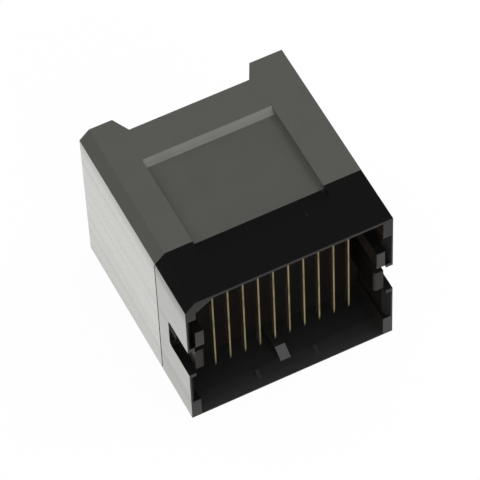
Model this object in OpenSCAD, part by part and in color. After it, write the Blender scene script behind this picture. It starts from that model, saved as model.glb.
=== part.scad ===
// Rectangular connector: a front shroud and a rear hood that meet at a butt joint,
// with a contact block trapped between them that carries a row of bent strip contacts.
// Front opening faces -Y, base on Z = 0, origin at the middle of the base.

/* [Body] */
// Overall width
body_w = 34.6; // [31:0.1:44]
// Overall height
body_h = 29.6; // [27:0.1:38]
// Overall depth, front rim to rear edge
body_d = 36.3; // [32:0.1:48]
// Legs of the slanted flat along the top left edge
edge_flat = 1.7; // [0.8:0.1:2.4]

/* [Front shroud] */
// Depth of the shroud, front rim to the joint with the hood
shroud_d = 10.2; // [8.5:0.1:13]
// Side wall between the corner posts
side_wall = 1.15; // [0.9:0.05:1.5]
// Floor of the shroud
base_wall = 1.0; // [0.8:0.05:1.5]
// Roof of the shroud
top_wall = 1.8; // [1.4:0.05:2.2]
// Width of a corner post, from the outer face
post_w = 1.65; // [1.55:0.05:2.2]
// Height of a corner post
post_h = 4.15; // [3:0.05:5]
// Foot of the slanted roof corner, below the top
slant_drop = 2.6; // [2:0.1:3.4]
// Slope of the slanted roof corner, degrees
slant_angle = 34; // [25:1:45]
// Thickness left at the front edge of the roof
top_rim = 0.5; // [0.3:0.05:0.9]
// Thickness left at the front edge of the floor
floor_rim = 0.25; // [0.15:0.05:0.5]
// Thickness left at the front edge of a side wall
side_rim = 0.25; // [0.15:0.05:0.5]
// Depth of the curved lead-in in roof and floor
lead_run = 3; // [2:0.1:4]
// Depth of the flat lead-in in a side wall
side_run = 1.4; // [0.8:0.1:2]
// Distance of the gate mark on the roof from the middle
gate_x = 6.3; // [-12:0.1:12]
// Set-back of the gate mark from the front rim
gate_set = 6.6; // [2:0.1:7]
// Outer radius of the ring sunk round the gate mark
gate_r = 0.35; // [0.2:0.05:0.8]
// Depth of that ring
gate_depth = 0.12; // [0.05:0.01:0.3]

/* [Side slots] */
// Height of the slot's middle above the base
slot_z = 14.6; // [14:0.1:15.5]
// Height of a slot
slot_h = 6.1; // [5:0.1:7]
// Depth of a slot from the front rim
slot_d = 6.7; // [5:0.1:7]
// Corner radius at the slot's closed end
slot_r = 0.7; // [0.3:0.1:1.2]
// Full-thickness lip kept above and below a slot
slot_lip = 0.7; // [0.3:0.1:1]

/* [Guide ribs and key] */
// Rise of a guide rib from the side wall
rib_w = 1.6; // [1:0.1:2]
// Height of a guide rib
rib_h = 3.65; // [2.5:0.05:4.5]
// Gap from the slot's upper edge to the rib
rib_gap = 0.65; // [0.2:0.05:1]
// Width of the key on the floor
key_w = 1.75; // [1:0.05:3]
// Height of the key above the floor
key_h = 1.2; // [0.8:0.05:2]
// Set-back of the foot of the key's ramp from the front rim
key_set = 1.75; // [1:0.05:2.5]
// Depth of the key's ramp
key_run = 2.65; // [2:0.05:4.5]
// Distance of the two floor ribs from the middle
foot_rib_x = 5; // [3:0.1:10]
// Width of a floor rib
foot_rib_w = 0.7; // [0.3:0.05:1.2]
// Height of a floor rib's rear end above the floor
foot_rib_h = 0.3; // [0.1:0.05:0.6]

/* [Rear hood] */
// Side walls and floor of the hood
hood_wall = 1.6; // [1.4:0.05:2.2]
// Roof of the hood
hood_top = 2.2; // [1.9:0.05:2.8]
// Width of the notch in the rear roof edge, at its inner end
notch_w = 20.4; // [12:0.1:24]
// Widening of the notch at each side of its mouth
notch_flare = 1.5; // [0:0.1:2.5]
// Depth of the notch
notch_d = 2.9; // [1.5:0.1:5]
// Legs of the chamfer inside the rear mouth
mouth_chamfer = 0.5; // [0.2:0.05:0.8]
// Width of the shadow gap that the hood's side walls leave at the joint
joint_gap_w = 0.3; // [0.15:0.05:0.6]
// Depth of that shadow gap
joint_gap_d = 0.35; // [0.1:0.05:0.6]

/* [Roof panel] */
// Width of the sunk panel at its floor
panel_w = 21.7; // [14:0.1:24]
// Depth of the sunk panel
panel_depth = 0.85; // [0.4:0.05:1]
// Run of the panel's side slopes
panel_side = 0.1; // [0.05:0.05:1.2]
// Run of the panel's rear ramp
panel_ramp = 1.1; // [0.5:0.05:2]
// Length of the panel floor, behind the joint
panel_back = 16; // [10:0.1:18]
// Run of the panel's front ramp, in front of the joint
panel_front = 3.1; // [1.5:0.1:4.5]

/* [Contacts] */
// Number of contacts
contact_count = 10; // [6:1:11]
// Pitch of the contact row
pitch = 2.54; // [2:0.01:2.6]
// Thickness of the contact strip, across the row
strip_t = 0.25; // [0.2:0.05:0.6]
// Width of the contact strip
strip_w = 0.95; // [0.6:0.05:1.2]
// Set-back of the contacts from the front rim
contact_set = 3.2; // [2.4:0.1:4]
// Height of the contact tips above the base
tip_z = 5.8; // [4:0.1:10]
// Gap between the roof and the contact legs
leg_gap = 1.4; // [1.2:0.1:2]
// Outer radius of the bend
bend_r = 1.9; // [1.4:0.1:2.4]
// Free length of the tails behind the contact block
tail_len = 5; // [3:0.1:8]
// Length of the taper at both ends of a contact
tip_taper = 0.8; // [0.4:0.1:1.2]
// Width left at the end of a taper
tip_w = 0.4; // [0.3:0.05:0.55]

/* [Contact block] */
// Thickness of the flange that seats in the shroud
flange_t = 1.2; // [0.9:0.1:1.6]
// Depth of the block's body inside the hood
block_d = 8; // [6:0.1:10]
// Wall round the pocket in the block's rear
block_wall = 1.6; // [1.2:0.1:2.4]
// Web at the front of that pocket
block_web = 1.5; // [1:0.1:2.5]
// Material kept under the contact legs
bar_under = 2; // [1.2:0.1:3]
// Clearance between the block and the two shells
fit_gap = 0.1; // [0.05:0.01:0.15]
// Clearance round a contact in the block
strip_gap = 0.05; // [0.02:0.01:0.1]
// Thickness of a side arm
arm_t = 1.65; // [1.2:0.05:1.9]
// Height of a side arm
arm_h = 4.55; // [3:0.05:4.8]
// Drop of a side arm below the slot's middle
arm_drop = 0.5; // [0:0.05:0.6]
// Gap between a side arm and the side wall
arm_gap = 0.2; // [0.1:0.05:0.4]
// Set-back of the arm's end from the front rim
arm_set = 0.5; // [0.2:0.1:2]
// Legs of the lead-in chamfer inside an arm's end
arm_lead = 0.35; // [0.1:0.05:0.6]

/* [Hidden] */
$fn = 48;
// Overlap of a cut past the face that it opens
cut = 0.2;
// Centre of a lead-in arc, as a multiple of its depth
lead_centre = 1.3;

half_w = body_w / 2;
y_front = -body_d / 2;
y_rear = body_d / 2;
y_joint = y_front + shroud_d;
y_seat = y_joint - flange_t;
y_block = y_joint + block_d;
roof_z = body_h - top_wall;
wall_x = half_w - side_wall;
post_x = half_w - post_w;
slot_low = slot_z - slot_h / 2;
slot_high = slot_z + slot_h / 2;
rib_z = slot_high + rib_gap;
arm_x = wall_x - arm_gap;
arm_z = slot_z - arm_drop - arm_h / 2;
leg_high = roof_z - leg_gap;
leg_low = leg_high - strip_w;
panel_z = body_h - panel_depth;
y_contact = y_front + contact_set;
y_tail = y_block + tail_len;

function contact_name(i) = str("contact_", i < 10 ? "0" : "", i);
function contact_x(i) = (i - (contact_count + 1) / 2) * pitch;

// Height of the slanted roof corner's line at a given X
function slant_z(x) = body_h - slant_drop + (x + post_x) * tan(slant_angle);

// Prism of an X-Z outline between two depths
module along_y(y0, y1) {
    translate([0, y1, 0]) rotate([90, 0, 0]) linear_extrude(y1 - y0) children();
}

// Prism of a Y-Z outline between two widths
module along_x(x0, x1) {
    translate([x0, 0, 0]) rotate([90, 0, 90]) linear_extrude(x1 - x0) children();
}

// A shape and its mirror image across the middle plane
module both_sides() {
    children();
    mirror([1, 0, 0]) children();
}

// Body outline set in by a wall on each side; the slanted flat keeps its own wall,
// and where that leaves nothing of it the corner is square
module section(side, base, top, slant) {
    left = side - half_w;
    high = body_h - top;
    flat = edge_flat + slant * sqrt(2) - side - top;
    polygon(concat(
        [[left, base], [half_w - side, base], [half_w - side, high]],
        flat > 0 ? [[left + flat, high], [left, high - flat]] : [[left, high]]
    ));
}

// Region above the line of the slanted roof corner
module slant_region() {
    polygon([
        [-half_w, slant_z(-half_w)],
        [0, slant_z(0)],
        [-half_w, slant_z(0)]
    ]);
}

// Opening of the shroud: tall between the posts, wide between post tops and bottoms
module opening_outline() {
    difference() {
        translate([-post_x, base_wall]) square([2 * post_x, roof_z - base_wall]);
        slant_region();
    }
    translate([-wall_x, post_h]) square([2 * wall_x, body_h - 2 * post_h]);
}

// Lead-in outline: depth along X, cut into the wall along Y, curved like a bell mouth
module lead_outline(run, rise) {
    cx = run * lead_centre;
    cy = (rise * rise - run * run + 2 * run * cx) / (2 * rise);
    radius = norm([run - cx, cy]);
    difference() {
        translate([-cut, -cut]) square([run + cut, rise + cut]);
        translate([cx, cy]) circle(radius, $fn = 96);
    }
}

// Curved lead-ins of roof and floor
module curved_lead_ins() {
    difference() {
        along_x(-post_x, post_x)
            translate([y_front, roof_z]) lead_outline(lead_run, top_wall - top_rim);
        along_y(y_front - cut, y_seat) slant_region();
    }
    along_x(-post_x, post_x)
        translate([y_front, base_wall]) mirror([0, 1])
            lead_outline(lead_run, base_wall - floor_rim);
}

// Flat lead-in of the right side wall between two heights
module side_lead_in(z0, z1) {
    slope = (side_wall - side_rim) / side_run;
    translate([0, 0, z0]) linear_extrude(z1 - z0)
        polygon([
            [wall_x - cut, y_front - cut],
            [half_w - side_rim + cut * slope, y_front - cut],
            [wall_x - cut, y_front + side_run + cut / slope]
        ]);
}

// Slot of the right side wall, open at the front and round at its closed corners
module side_slot() {
    along_x(wall_x - cut, half_w + cut)
        translate([y_front, slot_low]) {
            translate([-cut, 0]) square([slot_d - slot_r + cut, slot_h]);
            translate([0, slot_r]) square([slot_d, slot_h - 2 * slot_r]);
            for (z = [slot_r, slot_h - slot_r])
                translate([slot_d - slot_r, z]) circle(slot_r);
        }
}

// Guide rib above the right slot, rooted in the side wall
module guide_rib() {
    translate([wall_x - rib_w, y_front, rib_z])
        cube([rib_w + side_wall / 2, y_seat - y_front, rib_h]);
}

// Key along the middle of the floor, with a ramp at the front
module floor_key() {
    along_x(-key_w / 2, key_w / 2)
        polygon([
            [y_front + key_set, base_wall / 2],
            [y_seat, base_wall / 2],
            [y_seat, base_wall + key_h],
            [y_front + key_set + key_run, base_wall + key_h]
        ]);
}

// Wedge that rises out of the floor's lead-in, at the right of the key
module floor_rib() {
    foot = y_front + lead_run / 15;
    end = y_front + lead_run * 0.87;
    along_x(foot_rib_x - foot_rib_w / 2, foot_rib_x + foot_rib_w / 2)
        polygon([[foot, floor_rim], [end, floor_rim], [end, base_wall + foot_rib_h]]);
}

// Sunk panel that runs over the joint, with sloped sides and a ramp at each end
module roof_panel() {
    rise = 1 + cut / panel_depth;
    top_half = panel_w / 2 + panel_side * rise;
    intersection() {
        along_y(y_front, y_rear)
            polygon([
                [-panel_w / 2, panel_z],
                [panel_w / 2, panel_z],
                [top_half, body_h + cut],
                [-top_half, body_h + cut]
            ]);
        along_x(-half_w, half_w)
            polygon([
                [y_joint, panel_z],
                [y_joint + panel_back, panel_z],
                [y_joint + panel_back + panel_ramp * rise, body_h + cut],
                [y_joint - panel_front * rise, body_h + cut]
            ]);
    }
}

// Ring sunk in the roof round the gate mark
module gate_ring() {
    translate([gate_x, y_front + gate_set, body_h - gate_depth])
        difference() {
            cylinder(r = gate_r, h = gate_depth + cut);
            translate([0, 0, -cut]) cylinder(r = gate_r * 0.4, h = gate_depth + 3 * cut);
        }
}

module front_shroud() {
    color([0.07, 0.07, 0.07])
    difference() {
        union() {
            difference() {
                along_y(y_front, y_joint) section(0, 0, 0, 0);
                along_y(y_front - cut, y_seat + cut) opening_outline();
                along_y(y_seat, y_joint + cut)
                    section(side_wall, base_wall, top_wall, side_wall);
                curved_lead_ins();
            }
            both_sides() {
                guide_rib();
                floor_rib();
            }
            floor_key();
        }
        both_sides() {
            side_lead_in(post_h, slot_low - slot_lip);
            side_lead_in(slot_high + slot_lip, body_h - post_h);
            side_slot();
        }
        roof_panel();
        gate_ring();
    }
}

// Notch through the rear edge of the roof, wider at its mouth
module rear_notch() {
    spread = notch_flare / notch_d;
    translate([0, 0, body_h - hood_top - cut]) linear_extrude(hood_top + 2 * cut)
        polygon([
            [-notch_w / 2, y_rear - notch_d],
            [notch_w / 2, y_rear - notch_d],
            [notch_w / 2 + notch_flare + cut * spread, y_rear + cut],
            [-notch_w / 2 - notch_flare - cut * spread, y_rear + cut]
        ]);
}

// Chamfer of one inner edge of the rear mouth, as a Y-depth and inward outline
module mouth_edge() {
    polygon([
        [y_rear - mouth_chamfer - cut, -cut],
        [y_rear + cut, -cut],
        [y_rear + cut, mouth_chamfer + cut]
    ]);
}

// Chamfers along the floor and side walls of the rear mouth
module mouth_chamfers() {
    inner_x = half_w - hood_wall;
    along_x(-inner_x, inner_x)
        translate([0, hood_wall]) mirror([0, 1]) mouth_edge();
    both_sides()
        translate([inner_x, 0, hood_wall])
            linear_extrude(body_h - hood_top - edge_flat - hood_wall)
                mirror([1, -1, 0]) mouth_edge();
}

// Step down the front edge of the right side wall, which leaves a shadow gap at the joint
module joint_step() {
    translate([half_w - joint_gap_d, y_joint - cut, -cut])
        cube([joint_gap_d + cut, joint_gap_w + cut, body_h - edge_flat - joint_gap_w + cut]);
}

module rear_hood() {
    color([0.35, 0.35, 0.33])
    difference() {
        along_y(y_joint, y_rear) section(0, 0, 0, 0);
        along_y(y_joint - cut, y_rear + cut)
            section(hood_wall, hood_wall, hood_top, hood_wall);
        roof_panel();
        rear_notch();
        mouth_chamfers();
        both_sides() joint_step();
    }
}

// Side arm of the contact block, seen through the slot
module side_arm() {
    inner = arm_x - arm_t;
    end = y_front + arm_set;
    translate([0, 0, arm_z]) linear_extrude(arm_h)
        polygon([
            [inner + arm_lead, end],
            [arm_x, end],
            [arm_x, y_seat + flange_t / 2],
            [inner, y_seat + flange_t / 2],
            [inner, end + arm_lead]
        ]);
}

// Pocket in the rear of the contact block, under the bar that holds the contacts
module block_pocket() {
    inset = hood_wall + fit_gap + block_wall;
    translate([inset - half_w, y_joint + block_web, inset])
        cube([body_w - 2 * inset, block_d, leg_low - bar_under - inset]);
}

module contact_block() {
    seat = fit_gap + side_wall;
    sleeve = hood_wall + fit_gap;
    color([0.09, 0.09, 0.09])
    difference() {
        union() {
            along_y(y_seat, y_joint)
                section(seat, base_wall + fit_gap, top_wall + fit_gap, seat);
            along_y(y_seat, y_block)
                section(sleeve, sleeve, hood_top + fit_gap, sleeve);
            both_sides() side_arm();
        }
        block_pocket();
        for (i = [1 : contact_count])
            translate([contact_x(i) - strip_t / 2 - strip_gap, y_seat - cut, leg_low - strip_gap])
                cube([strip_t + 2 * strip_gap, block_d + flange_t + 2 * cut, strip_w + 2 * strip_gap]);
    }
}

// Side view of a contact: a blade that hangs down, a bend and a leg that runs to the rear
module contact_outline() {
    bend_y = y_contact + bend_r;
    bend_z = leg_high - bend_r;
    inset = (strip_w - tip_w) / 2;
    polygon([
        [y_contact, bend_z],
        [y_contact, tip_z + tip_taper],
        [y_contact + inset, tip_z],
        [y_contact + strip_w - inset, tip_z],
        [y_contact + strip_w, tip_z + tip_taper],
        [y_contact + strip_w, bend_z]
    ]);
    intersection() {
        translate([bend_y, bend_z]) difference() {
            circle(bend_r);
            circle(bend_r - strip_w);
        }
        translate([y_contact, bend_z]) square([bend_r, bend_r]);
    }
    polygon([
        [bend_y, leg_low],
        [y_tail - tip_taper, leg_low],
        [y_tail, leg_low + inset],
        [y_tail, leg_high - inset],
        [y_tail - tip_taper, leg_high],
        [bend_y, leg_high]
    ]);
}

module contact(i) {
    x = contact_x(i);
    color([0.83, 0.76, 0.55])
    along_x(x - strip_t / 2, x + strip_t / 2) contact_outline();
}

front_shroud();
rear_hood();
contact_block();
for (i = [1 : contact_count])
    contact(i);
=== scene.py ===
"""Looks of a rectangular connector: moulded shroud and hood, contact block and plated strip contacts."""

import logging
import math
from dataclasses import dataclass, field
from enum import Enum
from typing import Any, Optional, Union

import bpy
import numpy as np
from mathutils import Matrix, Vector


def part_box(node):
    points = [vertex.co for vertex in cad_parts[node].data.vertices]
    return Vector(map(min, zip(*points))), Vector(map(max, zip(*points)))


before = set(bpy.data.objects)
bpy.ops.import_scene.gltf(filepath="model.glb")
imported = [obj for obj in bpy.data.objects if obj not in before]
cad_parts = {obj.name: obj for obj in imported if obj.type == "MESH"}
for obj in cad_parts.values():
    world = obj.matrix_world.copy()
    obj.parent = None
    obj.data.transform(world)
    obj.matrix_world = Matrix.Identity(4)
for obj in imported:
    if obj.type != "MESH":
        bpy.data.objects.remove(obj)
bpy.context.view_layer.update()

Colour = tuple[float, float, float]
Triple = tuple[float, float, float]
Span = tuple[float, float]

# Metres in a millimetre
MM = 0.001
# Soft edge of a mask, in millimetres
SOFT = 0.1
BLACK: Colour = (0.0, 0.0, 0.0)
WHITE: Colour = (1.0, 1.0, 1.0)

log = logging.getLogger("connector")


class Slot(Enum):
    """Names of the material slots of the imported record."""

    SHROUD = "shroud_plastic"
    HOOD = "hood_plastic"
    BLOCK = "block_plastic"
    CONTACT = "contact_metal"


class Way(Enum):
    """Directions that a face can look in, on the object's axes."""

    UP = (0.0, 0.0, 1.0)
    FRONT = (0.0, -1.0, 0.0)
    LEFT = (-1.0, 0.0, 0.0)


class Tilt(Enum):
    """Cosines between which a face comes to count as looking some way."""

    ROOF = (0.5, 0.9)
    LEVEL = (0.86, 0.91)
    HALF_UP = (0.3, 0.6)
    BARELY_UP = (0.1, 0.3)
    HALF_FRONT = (0.35, 0.45)
    SLANT_START = (0.4, 0.5)
    SLANT_END = (0.65, 0.75)
    OUTER_WALL = (0.9, 0.95)
    PANEL_SIDE = (0.9, 0.97)


class Wire:
    """A shader socket that takes part in Python arithmetic; each operator adds one Math node."""

    def __init__(self, board: "Board", socket: bpy.types.NodeSocket) -> None:
        """Keeps the socket and the board that it belongs to."""
        self.board = board
        self.socket = socket

    def __add__(self, other: Union["Wire", float]) -> "Wire":
        """Sum of two values."""
        return self.board.math("ADD", self, other)

    def __sub__(self, other: Union["Wire", float]) -> "Wire":
        """Difference of two values."""
        return self.board.math("SUBTRACT", self, other)

    def __rsub__(self, other: Union["Wire", float]) -> "Wire":
        """Difference with the number first, as in 1 - mask."""
        return self.board.math("SUBTRACT", other, self)

    def __mul__(self, other: Union["Wire", float]) -> "Wire":
        """Product of two values."""
        return self.board.math("MULTIPLY", self, other)

    def __pow__(self, other: Union["Wire", float]) -> "Wire":
        """Power of a value."""
        return self.board.math("POWER", self, other)

    def __abs__(self) -> "Wire":
        """Value without its sign."""
        return self.board.math("ABSOLUTE", self)

    __radd__ = __add__
    __rmul__ = __mul__

    def smooth(self, low: float, high: float) -> "Wire":
        """Smooth step of the value from 0 at low to 1 at high."""
        settings = {"interpolation_type": "SMOOTHSTEP"}
        return self.board.add("ShaderNodeMapRange", settings, {"Value": self, 1: low, 2: high})

    def below(self, limit: float, soft: float = SOFT) -> "Wire":
        """Mask that is 0 at a limit and rises to 1 within soft below it."""
        return self.smooth(limit, limit - soft)

    def above(self, limit: float, soft: float = SOFT) -> "Wire":
        """Mask that is 0 at a limit and rises to 1 within soft above it."""
        return self.smooth(limit, limit + soft)

    def output(self, name: str) -> "Wire":
        """Another output of the same node."""
        return Wire(self.board, self.socket.node.outputs[name])


Value = Union[Wire, float]


class Board:
    """A node tree that is filled through one method."""

    def __init__(self, tree: bpy.types.NodeTree) -> None:
        """Empties the tree."""
        self.tree = tree
        tree.nodes.clear()

    def add(
        self,
        kind: str,
        settings: Optional[dict[str, Any]] = None,
        sockets: Optional[dict[Union[str, int], Any]] = None,
        output: Union[str, int] = 0,
    ) -> Wire:
        """Adds a node.

        Args:
            kind: Blender's name of the node's type.
            settings: properties that are set first.
            sockets: values or wires of the inputs, by name or number.
            output: name or number of the output to hand back.

        Returns:
            The wire from that output, or the first input of a node without outputs.
        """
        node = self.tree.nodes.new(kind)
        for name, value in (settings or {}).items():
            setattr(node, name, value)
        for name, value in (sockets or {}).items():
            if isinstance(value, Wire):
                self.tree.links.new(value.socket, node.inputs[name])
            else:
                node.inputs[name].default_value = value
        return Wire(self, node.outputs[output] if node.outputs else node.inputs[0])

    def math(self, operation: str, first: Value, second: Value = 0.0) -> Wire:
        """One Math node on two values."""
        return self.add("ShaderNodeMath", {"operation": operation}, {0: first, 1: second})

    def mix(self, share: Value, first: Union[Wire, Colour], second: Colour) -> Wire:
        """Mixes two colours, which are the Mix node's inputs 6 and 7 and its output 2.

        Args:
            share: part of the second colour, held between 0 and 1.
            first: colour at share 0, or a wire that carries one.
            second: colour at share 1.

        Returns:
            The mixed colour.
        """
        start = first if isinstance(first, Wire) else (*first, 1.0)
        ends = {0: share, 6: start, 7: (*second, 1.0)}
        return self.add("ShaderNodeMix", {"data_type": "RGBA"}, ends, 2)

    def axis(self, name: str) -> Wire:
        """One Object coordinate in millimetres."""
        here = self.add("ShaderNodeTexCoord", output="Object")
        return self.add("ShaderNodeSeparateXYZ", None, {0: here}, name) * (1.0 / MM)

    def noise(self, period: Triple, detail: float = 2.0) -> Wire:
        """Noise between 0 and 1 on Object coordinates.

        Args:
            period: millimetres from swing to swing along each axis.
            detail: number of finer layers.

        Returns:
            The noise value.
        """
        here = self.add("ShaderNodeTexCoord", output="Object")
        swings = tuple(1.0 / (p * MM) for p in period)
        place = self.add("ShaderNodeVectorMath", {"operation": "MULTIPLY"}, {0: here, 1: swings})
        sockets = {"Vector": place, "Scale": 1.0, "Detail": detail}
        return self.add("ShaderNodeTexNoise", {"noise_dimensions": "3D"}, sockets, "Fac")

    def bevel(self, radius: float) -> Wire:
        """Normal that is rounded off within radius millimetres of an edge."""
        return self.add("ShaderNodeBevel", {"samples": 6}, {"Radius": radius * MM})

    def agreement(self, direction: Union[Wire, Triple]) -> Wire:
        """Cosine between the face's own normal and a direction."""
        true = self.add("ShaderNodeNewGeometry", output="True Normal")
        sockets = {0: true, 1: direction}
        return self.add("ShaderNodeVectorMath", {"operation": "DOT_PRODUCT"}, sockets, "Value")

    def facing(self, way: Way, tilt: Tilt) -> Wire:
        """Mask of the faces that look a way."""
        return self.agreement(way.value).smooth(*tilt.value)

    def edge(self, rounded: Wire, start: float = 0.01, full: float = 0.25) -> Wire:
        """Mask of edges, from one minus the agreement of the rounded and the true normal.

        Args:
            rounded: normal that is rounded off near edges.
            start: disagreement at which the mask starts to rise.
            full: disagreement at which it is 1.

        Returns:
            The mask.
        """
        return (1.0 - self.agreement(rounded)).smooth(start, full)

    def bump(self, height: Wire, distance: float, normal: Wire) -> Wire:
        """Normal tilted by a height of so many millimetres per unit."""
        sockets = {"Height": height, "Strength": 1.0, "Distance": distance * MM, "Normal": normal}
        return self.add("ShaderNodeBump", None, sockets)

    def rays(self) -> tuple[Wire, Wire]:
        """Tells rays apart.

        Returns:
            A mask of camera rays, and one of the rays that gloss and glass send out.
        """
        camera = self.add("ShaderNodeLightPath", output="Is Camera Ray")
        gloss = camera.output("Is Glossy Ray")
        return camera, self.math("MAXIMUM", gloss, camera.output("Is Transmission Ray"))

    def surface(self, skin: Wire) -> None:
        """Ends the tree in a material output."""
        self.add("ShaderNodeOutputMaterial", None, {"Surface": skin})


def new_material(name: str) -> tuple[bpy.types.Material, Board]:
    """Makes an empty node material.

    Args:
        name: the material's name.

    Returns:
        The material and its board.
    """
    material = bpy.data.materials.new(name)
    material.use_nodes = True
    return material, Board(material.node_tree)


@dataclass(frozen=True)
class Gloss:
    """How a plastic shines: its own roughness and refraction, and those of the skin on it."""

    roughness: float
    specular: float = 0.5
    ior: float = 1.5
    coat: float = 1.0
    coat_roughness: float = 0.1
    coat_ior: float = 1.5
    sheen: float = 0.0
    sheen_roughness: float = 0.3


@dataclass(frozen=True)
class Texture:
    """Periods in millimetres and strengths of a moulded skin's patterns.

    A share is a pattern's part in colour or coat, a rough its part in roughness, and a stretch tells how
    many times longer its period is along the draw.
    """

    grain: float
    grain_height: float
    mottle: float
    mottle_share: float
    draw: float
    draw_share: float
    streak_share: float
    edge_radius: float
    # Colour lifted on edges: a painted highlight
    painted_edge_highlight: float
    streak: float = 3.0
    streak_span: Span = (0.42, 0.75)
    streak_stretch: float = 30.0
    draw_stretch: float = 50.0
    mottle_rough: float = 0.1
    draw_rough: float = 0.15


@dataclass(frozen=True)
class Crest:
    """Stretch of the left wall that rolls off towards its top edge, in millimetres of height."""

    low: float
    high: float


@dataclass(frozen=True)
class Panel:
    """A panel sunk in the roof, in millimetres: half width, height just under the roof, and rear end."""

    half: float
    under: float
    rear: float
    margin: float = 0.2
    depth: float = 1.2
    floor_fade: float = 0.3
    side_fade: float = 0.4


@dataclass(frozen=True)
class Mouth:
    """An open mouth, in millimetres: half width inside the outer walls, and heights of floor and roof."""

    half: float
    floor: float
    roof: float
    base: float = 0.1
    base_fade: float = 0.4
    roof_fade: float = 1.0


@dataclass(frozen=True)
class Gate:
    """A gate mark on the roof, in millimetres; nub and ring span parts of its radius."""

    x: float
    y: float
    radius: float
    roof: float
    roof_fade: float = 0.3
    nub: Span = (0.5, 0.4)
    ring: Span = (1.05, 0.95)


@dataclass(frozen=True)
class Places:
    """Where a skin differs; None leaves a place out.

    crest: where the left wall rolls off.
    panel: a sunk panel whose floor and sides are darkened as painted shade.
    mouth: a mouth whose inner walls are painted lighter and warmer as painted light, and whose floor and
    side lead-ins are rubbed dull.
    gate: a gate mark whose nub is lightened as a painted highlight and whose sunk ring is painted black as
    painted shade.
    shine: distance from the middle plane beyond which alone the skin is glossy.
    """

    crest: Optional[Crest] = None
    panel: Optional[Panel] = None
    mouth: Optional[Mouth] = None
    gate: Optional[Gate] = None
    shine: Optional[float] = None


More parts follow.
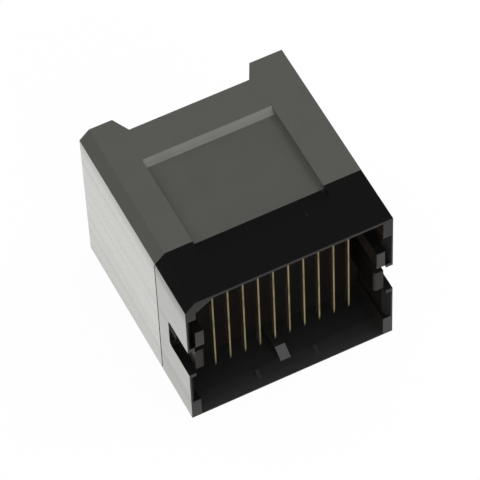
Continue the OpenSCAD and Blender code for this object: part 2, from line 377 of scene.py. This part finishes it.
@dataclass(frozen=True)
class MouldedPlastic:
    """Moulded plastic with a fine grain, slow mottling, draw lines, gloss streaks and edges lightened as a
    painted highlight.
    """

    name: str
    colour: Colour
    gloss: Gloss
    texture: Texture
    swing: float = 0.5
    crest_tilt: float = 0.42
    # Painted shade on the sunk panel's floor and sides
    panel_floor_painted_shade: float = 0.09
    panel_side_painted_shade: float = 0.55
    # Painted light on the mouth's inner walls: a lighter, warmer colour and a lift
    inner_painted_light_colour: Colour = (0.03, 0.0222, 0.0172)
    inner_painted_light_lift: float = 0.3
    dull_roughness: float = 0.56
    dull_loss: float = 0.9
    # Painted highlight on the gate mark's nub
    gate_nub_painted_highlight: Colour = (0.021, 0.0205, 0.0205)

    def material(self, places: Places) -> bpy.types.Material:
        """Builds the finish.

        Colour is the base colour times a factor from mottling, draw lines and grain, lifted on edges as a
        painted highlight.
        Roughness follows mottling and draw lines the other way, and the grain stands out as bump.

        Args:
            places: where the skin differs.

        Returns:
            The material.
        """
        material, board = new_material(self.name)
        texture = self.texture
        rounded = board.bevel(texture.edge_radius)
        slow = board.noise((texture.mottle,) * 3, detail=4.0) - 0.5
        lines = self._draw_lines(board)
        grain = board.noise((texture.grain,) * 3, detail=3.0)
        tone = (slow + grain - 0.5) * texture.mottle_share + lines * texture.draw_share
        # Lift on edges: a painted highlight in the colour
        tone = tone + board.edge(rounded) * texture.painted_edge_highlight + 0.5
        rough = self.gloss.roughness - slow * texture.mottle_rough - lines * texture.draw_rough
        coat = self._coat(board, places.shine)
        height = grain * texture.grain_height
        # Sunk panel: floor and sides darkened as painted shade, and the sides lose their coat
        if places.panel:
            floor, sides = self._panel_painted_shade(board, places.panel)
            tone = tone - floor * self.panel_floor_painted_shade - sides * self.panel_side_painted_shade
            coat = coat * (1.0 - sides)
        colour = board.mix(tone, self._shade(1.0 - self.swing), self._shade(1.0 + self.swing))
        # Mouth: inner walls lightened and warmed as painted light; floor and lead-ins rubbed dull
        if places.mouth:
            inner = self._inner_painted_light(board, places.mouth) * (tone + self.inner_painted_light_lift)
            dull = self._rubbed(board, places.mouth)
            colour = board.mix(inner, colour, self.inner_painted_light_colour)
            rough = rough + dull * self.dull_roughness
            coat = coat * (1.0 - dull * self.dull_loss)
        # Gate mark: nub lightened as a painted highlight, sunk ring painted black as painted shade
        if places.gate:
            nub, ring = self._gate(board, places.gate)
            colour = board.mix(nub, board.mix(ring, colour, BLACK), self.gate_nub_painted_highlight)
            coat = coat * (1.0 - board.math("MAXIMUM", nub, ring))
        if places.crest:
            height = height - self._roll_off(board, places.crest)
        skin = board.add("ShaderNodeBsdfPrincipled", None, {
            "Base Color": colour,
            "Roughness": rough,
            "Normal": board.bump(height, 1.0, rounded),
            "Coat Weight": coat,
            "Coat Roughness": self.gloss.coat_roughness,
            "Coat IOR": self.gloss.coat_ior,
            "IOR": self.gloss.ior,
            "Specular IOR Level": self.gloss.specular,
            "Sheen Weight": self.gloss.sheen,
            "Sheen Roughness": self.gloss.sheen_roughness,
        })
        board.surface(skin)
        return material

    def _shade(self, factor: float) -> Colour:
        """Base colour times a factor."""
        return tuple(c * factor for c in self.colour)

    def _draw_lines(self, board: Board) -> Wire:
        """Fine lines along the draw on all faces but those that look up, as a value about 0.

        Args:
            board: the material's board.

        Returns:
            The lines.
        """
        fine = self.texture.draw
        lines = board.noise((fine, fine * self.texture.draw_stretch, fine), detail=3.0) - 0.5
        return lines * (1.0 - board.facing(Way.UP, Tilt.ROOF))

    def _coat(self, board: Board, shine: Optional[float]) -> Wire:
        """Weight of the glossy skin, with streaks along the draw.

        Args:
            board: the material's board.
            shine: distance from the middle plane beyond which alone the skin is glossy, or None.

        Returns:
            The weight.
        """
        texture = self.texture
        period = (texture.streak, texture.streak * texture.streak_stretch, texture.streak)
        streaks = board.noise(period).smooth(*texture.streak_span)
        weight = self.gloss.coat - streaks * texture.streak_share
        if shine is None:
            return weight
        return weight * abs(board.axis("X")).above(shine)

    def _panel_painted_shade(self, board: Board, panel: Panel) -> tuple[Wire, Wire]:
        """Masks of the painted shade in a sunk panel.

        Args:
            board: the material's board.
            panel: the panel's sizes.

        Returns:
            The painted shade on its floor and on its upright sides.
        """
        across = abs(board.axis("X"))
        height = board.axis("Z")
        floor = across.below(panel.half) * height.below(panel.under, panel.floor_fade)
        sides = abs(board.agreement(Way.LEFT.value)).smooth(*Tilt.PANEL_SIDE.value)
        sides = sides * across.below(panel.half + panel.margin) * board.axis("Y").below(panel.rear)
        return floor, sides * height.above(panel.under - panel.depth, panel.side_fade)

    def _inner_painted_light(self, board: Board, mouth: Mouth) -> Wire:
        """Mask of a mouth's inner walls, which look neither up nor forward, where painted light lightens
        and warms the colour.

        Args:
            board: the material's board.
            mouth: the mouth's sizes.

        Returns:
            The mask.
        """
        height = board.axis("Z")
        inside = abs(board.axis("X")).below(mouth.half)
        inside = inside * height.above(mouth.base, mouth.base_fade)
        inside = inside * height.below(mouth.roof, mouth.roof_fade)
        up = board.facing(Way.UP, Tilt.HALF_UP)
        return inside * (1.0 - up) * (1.0 - board.facing(Way.FRONT, Tilt.HALF_FRONT))

    def _rubbed(self, board: Board, mouth: Mouth) -> Wire:
        """Mask of what a plug rubs: low faces that look up, and upright faces slanted to the front.

        Args:
            board: the material's board.
            mouth: the mouth's sizes.

        Returns:
            The mask.
        """
        low = board.facing(Way.UP, Tilt.LEVEL) * board.axis("Z").below(mouth.floor)
        slant = board.facing(Way.FRONT, Tilt.SLANT_START)
        slant = slant * (1.0 - board.facing(Way.FRONT, Tilt.SLANT_END))
        slant = slant * (1.0 - board.facing(Way.UP, Tilt.BARELY_UP))
        return board.math("MAXIMUM", low, slant)

    def _gate(self, board: Board, gate: Gate) -> tuple[Wire, Wire]:
        """Masks of a gate mark, by the distance from its middle: the root of the summed squares.

        Args:
            board: the material's board.
            gate: the mark's sizes.

        Returns:
            The nub, lightened as a painted highlight, and the ring sunk round it with the nub inside,
            painted black as painted shade.
        """
        across = board.axis("X") - gate.x
        along = board.axis("Y") - gate.y
        away = board.math("SQRT", across * across + along * along) * (1.0 / gate.radius)
        roof = board.axis("Z").above(gate.roof, gate.roof_fade)
        return away.smooth(*gate.nub) * roof, away.smooth(*gate.ring) * roof

    def _roll_off(self, board: Board, crest: Crest) -> Wire:
        """Drop of the left wall towards its top edge: the square of the height above the crest's start.

        Args:
            board: the material's board.
            crest: where the wall rolls off.

        Returns:
            The drop in millimetres.
        """
        above = board.math("MINIMUM", board.axis("Z"), crest.high) - crest.low
        bend = self.crest_tilt / (2.0 * (crest.high - crest.low))
        left = board.facing(Way.LEFT, Tilt.OUTER_WALL)
        return board.math("MAXIMUM", above) ** 2.0 * bend * left


@dataclass(frozen=True)
class PlatedStrip:
    """Pale gold plating on a stamped strip, with rolling lines along it and duller patches.

    Lengths are in millimetres; the plating is worn between worn and bare above the tip, and off below bare.
    """

    name: str
    colour: Colour
    dull_colour: Colour
    tip_colour: Colour
    roughness: float
    patch: float = 3.0
    patch_span: Span = (0.42, 0.7)
    patch_rough: float = 0.12
    line: float = 0.12
    line_stretch: float = 20.0
    line_rough: float = 0.2
    line_height: float = 0.0025
    worn: float = 1.8
    bare: float = 0.8
    edge_radius: float = 0.06

    def material(self, tip: float) -> bpy.types.Material:
        """Builds the finish: colour runs from plated to dull by slow patches and wears off at the tip.

        Args:
            tip: height of the strip's tip.

        Returns:
            The material.
        """
        material, board = new_material(self.name)
        patches = board.noise((self.patch,) * 3, detail=3.0).smooth(*self.patch_span)
        lines = board.noise((self.line, self.line, self.line * self.line_stretch))
        plated = board.mix(patches, self.colour, self.dull_colour)
        worn = board.axis("Z").smooth(tip + self.worn, tip + self.bare)
        skin = board.add("ShaderNodeBsdfPrincipled", None, {
            "Base Color": board.mix(worn, plated, self.tip_colour),
            "Metallic": 1.0,
            "Roughness": self.roughness + patches * self.patch_rough + (lines - 0.5) * self.line_rough,
            "Normal": board.bump(lines, self.line_height, board.bevel(self.edge_radius)),
        })
        board.surface(skin)
        return material


HOOD_FINISH = MouldedPlastic(
    name="matte_charcoal_plastic",
    colour=(0.095, 0.096, 0.085),
    gloss=Gloss(roughness=0.22, coat_ior=1.75, sheen=0.52),
    texture=Texture(
        grain=0.25, grain_height=0.006, mottle=5.0, mottle_share=0.16, draw=0.9, draw_share=0.2,
        streak_share=0.3, edge_radius=0.1, painted_edge_highlight=0.1,
    ),
)
SHROUD_FINISH = MouldedPlastic(
    name="gloss_black_plastic",
    colour=(0.006, 0.0057, 0.0056),
    gloss=Gloss(roughness=0.22),
    texture=Texture(
        grain=0.35, grain_height=0.0036, mottle=6.0, mottle_share=0.3, draw=1.2, draw_share=0.3,
        streak_share=0.25, edge_radius=0.15, painted_edge_highlight=0.4,
    ),
)
BLOCK_FINISH = MouldedPlastic(
    name="satin_black_plastic",
    colour=(0.0088, 0.0074, 0.0064),
    gloss=Gloss(roughness=0.5, specular=0.06, coat=0.88, coat_roughness=0.2),
    texture=Texture(
        grain=0.3, grain_height=0.006, mottle=4.0, mottle_share=0.3, draw=0.8, draw_share=0.3,
        streak_share=0.1, edge_radius=0.12, painted_edge_highlight=0.4,
    ),
)
CONTACT_FINISH = PlatedStrip(
    name="pale_gold_plating",
    colour=(0.72, 0.63, 0.38),
    dull_colour=(0.5, 0.44, 0.28),
    tip_colour=(0.27, 0.24, 0.19),
    roughness=0.32,
)


def box_mm(node: str) -> tuple[Vector, Vector]:
    """Lowest and highest corner of a CAD node, in millimetres."""
    low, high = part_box(node)
    return low / MM, high / MM


def dress(node: str, material: bpy.types.Material) -> None:
    """Gives a CAD node its material.

    Args:
        node: name of the CAD node.
        material: the finish to put on it.
    """
    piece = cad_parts[node]
    piece.data.materials.clear()
    piece.data.materials.append(material)
    log.info("dressed %s with %s", node, material.name)


@dataclass
class Moulding:
    """A moulding with a slanted flat along its top left edge, below which its left wall rolls off.

    All sizes of the sub-assemblies are in millimetres.
    """

    node: str
    edge_flat: float = 1.7
    roll: float = 3.2

    def crest(self) -> Crest:
        """Where the left wall rolls off."""
        edge = box_mm(self.node)[1].z - self.edge_flat
        return Crest(edge - self.roll, edge)


@dataclass
class FrontShroud(Moulding):
    """Glossy shroud round the mouth, with a gate mark on its roof."""

    node: str = "front_shroud"
    wall_skin: float = 0.1
    roof_skin: float = 0.3
    floor_top: float = 2.4
    gate_x: float = 6.3
    gate_set: float = 6.6
    gate_radius: float = 0.35
    gate_under: float = 0.6

    def build(self) -> None:
        """Dresses the shroud, with its places measured from the node's front, right side and top."""
        low, high = box_mm(self.node)
        places = Places(
            crest=self.crest(),
            mouth=Mouth(high.x - self.wall_skin, self.floor_top, high.z - self.roof_skin),
            gate=Gate(self.gate_x, low.y + self.gate_set, self.gate_radius, high.z - self.gate_under),
        )
        dress(self.node, SHROUD_FINISH.material(places))


@dataclass
class RearHood(Moulding):
    """Matte hood behind the joint, with a sunk roof panel."""

    node: str = "rear_hood"
    panel_half: float = 10.95
    panel_skin: float = 0.3
    panel_set: float = 8.75

    def build(self) -> None:
        """Dresses the hood, with its panel measured from the node's top and rear."""
        high = box_mm(self.node)[1]
        panel = Panel(self.panel_half, high.z - self.panel_skin, high.y - self.panel_set)
        dress(self.node, HOOD_FINISH.material(Places(crest=self.crest(), panel=panel)))


@dataclass
class ContactBlock:
    """Satin block that holds the contacts, with two side arms that rub in the slots and shine."""

    node: str = "contact_block"
    arm_inner: float = 14.35

    def build(self) -> None:
        """Dresses the block."""
        dress(self.node, BLOCK_FINISH.material(Places(shine=self.arm_inner)))


@dataclass
class ContactRow:
    """Row of bent strip contacts with one plating."""

    count: int = 10

    def build(self) -> None:
        """Dresses each contact, with the plating worn above the lowest point of the first."""
        nodes = [f"contact_{number:02d}" for number in range(1, self.count + 1)]
        plating = CONTACT_FINISH.material(box_mm(nodes[0])[0].z)
        for node in nodes:
            dress(node, plating)


def grid_piece(name: str, points: np.ndarray, rows: int, columns: int) -> bpy.types.Object:
    """Makes a mesh from a grid of points.

    The face of row i and column j joins points (i, j), (i, j+1), (i+1, j+1) and (i+1, j).

    Args:
        name: the object's name.
        points: rows times columns points, row by row.
        rows: number of rows.
        columns: number of columns.

    Returns:
        The linked object.
    """
    i, j = np.meshgrid(np.arange(rows - 1), np.arange(columns - 1), indexing="ij")
    first = (i * columns + j).ravel()
    faces = np.stack([first, first + 1, first + columns + 1, first + columns], -1)
    mesh = bpy.data.meshes.new(name)
    mesh.from_pydata(points.tolist(), [], faces.tolist())
    mesh.update()
    piece = bpy.data.objects.new(name, mesh)
    bpy.context.scene.collection.objects.link(piece)
    return piece


@dataclass
class Softbox:
    """A square area lamp aimed at a point, in metres; reflections see the sky in its place."""

    name: str
    place: Triple
    size: float
    power: float
    aim: Triple = (0.0, 0.0, 0.015)

    def build(self) -> None:
        """Makes the lamp and turns it to its aim."""
        lamp = bpy.data.lights.new(self.name, "AREA")
        lamp.shape = "SQUARE"
        lamp.size = self.size
        lamp.energy = self.power
        holder = bpy.data.objects.new(self.name, lamp)
        bpy.context.scene.collection.objects.link(holder)
        holder.location = self.place
        holder.visible_glossy = False
        look = Vector(self.aim) - Vector(self.place)
        holder.rotation_euler = look.to_track_quat("-Z", "Y").to_euler()
        log.info("lamp %s of %.2f W", self.name, self.power)


@dataclass
class Floor:
    """White floor that keeps the shadow; reflections see painted shadow on it, most in front of the mouth.

    Its half width and drop are in metres, and its spans in millimetres on the object's axes.
    """

    half: float = 2.0
    drop: float = 0.00002
    points: int = 9
    paint: float = 0.9
    white: float = 0.96
    warm: Colour = (1.0, 0.995, 0.965)
    # Painted shadow for reflections: level in front of the mouth, a little brighter to the right, darker
    # far in front, and a slight loss by the left wall
    front_level: float = 0.325
    front_span: Span = (-17.2, -18.2)
    right_gain: float = 0.05
    right_span: Span = (-20.0, 20.0)
    far_loss: float = 0.4
    far_span: Span = (-30.0, -37.0)
    near_loss: float = 0.05
    near_span: Span = (-19.2, -17.6)

    def build(self) -> None:
        """Makes the floor: a flat grid of points with x and y from -half to half, just under the base."""
        side = np.linspace(-self.half, self.half, self.points)
        x, y = np.meshgrid(side, side)
        points = np.stack([x, y, np.full_like(x, -self.drop)], -1).reshape(-1, 3)
        floor = grid_piece("floor", points, self.points, self.points)
        floor.data.materials.append(self._material())
        log.info("floor of %.1f m", 2.0 * self.half)

    def _material(self) -> bpy.types.Material:
        """White paint that camera and reflections see as an even glow, with painted shadow for reflections.

        Returns:
            The material.
        """
        material, board = new_material("floor_white")
        camera, mirrored = board.rays()
        paint = board.add("ShaderNodeBsdfDiffuse", None, {"Color": (*(self.paint,) * 3, 1.0)})
        seen = board.mix(mirrored, WHITE, self.warm)
        # Reflections see painted shadow on the floor
        seen = board.mix(mirrored * self._painted_shadow(board), seen, BLACK)
        glow = board.add("ShaderNodeEmission", None, {"Color": seen})
        share = board.math("MAXIMUM", camera, mirrored) * self.white
        board.surface(board.add("ShaderNodeMixShader", None, {0: share, 1: paint, 2: glow}))
        return material

    def _painted_shadow(self, board: Board) -> Wire:
        """Painted shadow that reflections see on the floor: a little by the left wall, and more in front.

        Args:
            board: the material's board.

        Returns:
            The painted shadow, from 0 to 1.
        """
        x = board.axis("X")
        y = board.axis("Y")
        front = y.smooth(*self.front_span)
        level = self.front_level + x.smooth(*self.right_span) * self.right_gain
        level = level * (1.0 - y.smooth(*self.far_span) * self.far_loss)
        beside = x.smooth(*self.near_span) * self.near_loss
        return front * (1.0 - level) + (1.0 - front) * beside


@dataclass
class Sky:
    """World of an even light; reflections see it white at the horizon, soft in front and dark behind."""

    ambient: float = 0.9
    dark: float = 0.01
    bright: float = 0.92
    rise: Span = (0.35, -0.3)
    fall: Span = (-0.56, -0.8)
    horizon: float = 0.06

    def build(self) -> None:
        """Makes the world."""
        world = bpy.data.worlds.new("studio")
        bpy.context.scene.world = world
        world.use_nodes = True
        board = Board(world.node_tree)
        here = board.add("ShaderNodeTexCoord", output="Generated")
        height = board.add("ShaderNodeSeparateXYZ", None, {0: here}, "Z")
        depth = height.output("Y")
        patch = depth.smooth(*self.rise) * (1.0 - depth.smooth(*self.fall))
        dome = patch * self.bright + self.dark
        low = 1.0 - height.smooth(0.0, self.horizon)
        shown = dome + low * (1.0 - dome)
        camera, mirrored = board.rays()
        level = self.ambient + camera * (1.0 - self.ambient) + mirrored * (shown - self.ambient)
        light = board.add("ShaderNodeBackground", None, {"Color": (*WHITE, 1.0), "Strength": level})
        board.add("ShaderNodeOutputWorld", None, {"Surface": light})
        log.info("sky of level %.2f", self.ambient)


@dataclass
class PhotoCamera:
    """Camera on a sphere round its aim: azimuth and elevation place it, roll turns it."""

    azimuth: float = -24.48
    elevation: float = 54.26
    roll: float = 2.826
    aim_mm: Triple = (-0.21, -1.35, 14.8)
    distance_mm: float = 560.65
    lens: float = 274.6
    sensor: float = 36.0
    clip: Span = (0.01, 10.0)

    def build(self) -> None:
        """Makes the camera and hands it to the scene."""
        azimuth = math.radians(self.azimuth)
        elevation = math.radians(self.elevation)
        level = math.cos(elevation)
        back = Vector((math.sin(azimuth) * level, -math.cos(azimuth) * level, math.sin(elevation)))
        data = bpy.data.cameras.new("photo_camera")
        data.lens = self.lens
        data.sensor_width = self.sensor
        data.clip_start, data.clip_end = self.clip
        camera = bpy.data.objects.new("photo_camera", data)
        bpy.context.scene.collection.objects.link(camera)
        turn = (-back).to_track_quat("-Z", "Y").to_matrix().to_4x4()
        roll = Matrix.Rotation(math.radians(-self.roll), 4, "Z")
        place = (Vector(self.aim_mm) + back * self.distance_mm) * MM
        camera.matrix_world = Matrix.Translation(place) @ turn @ roll
        bpy.context.scene.camera = camera
        log.info("camera at azimuth %.1f and elevation %.1f", self.azimuth, self.elevation)


@dataclass
class Studio:
    """Camera, floor, sky and soft lamps."""

    lamps: list[Softbox] = field(default_factory=lambda: [
        Softbox("key", place=(0.8, -0.1, 0.7), size=0.4, power=2.0),
        Softbox("fill", place=(0.1, -1.0, 0.35), size=0.4, power=4.2),
    ])

    def build(self) -> None:
        """Builds all of it."""
        bpy.context.scene.view_settings.view_transform = "Standard"
        for part in (PhotoCamera(), Floor(), Sky(), *self.lamps):
            part.build()


def main() -> None:
    """Builds the studio and dresses the connector, sub-assembly by sub-assembly."""
    logging.basicConfig(level=logging.INFO, format="%(name)s: %(message)s")
    Studio().build()
    for part in (FrontShroud(), RearHood(), ContactBlock(), ContactRow()):
        part.build()


if __name__ == "__main__":
    main()
